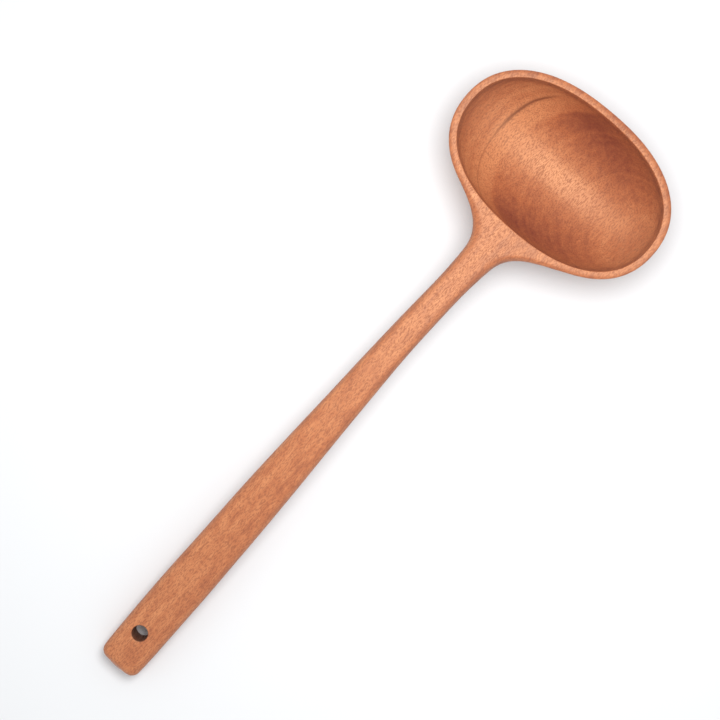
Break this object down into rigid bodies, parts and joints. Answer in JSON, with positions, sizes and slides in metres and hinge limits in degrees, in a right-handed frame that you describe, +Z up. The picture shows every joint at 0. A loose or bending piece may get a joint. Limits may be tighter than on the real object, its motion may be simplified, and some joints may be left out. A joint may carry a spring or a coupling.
{
  "type": "wooden ladle",
  "caption": "Carved wooden soup ladle with a deep oval bowl set across a long tapering handle with a hanging hole.",
  "frame": {"origin": "centre of the bounding box in plan, on the surface that the ladle lies on", "axes": "+X from the handle's end to the bowl, +Y across the bowl, +Z up; the ladle lies on the foot of its bowl and the end of its handle"},
  "size_m": [0.3026, 0.0984, 0.0385],
  "materials": {
    "oiled_wood": "satin, hand-rubbed oil over reddish brown hardwood"
  },
  "bodies": {
    "root": {"bowl": "oiled_wood", "neck": "oiled_wood", "handle": "oiled_wood"}
  },
  "joints": []
}
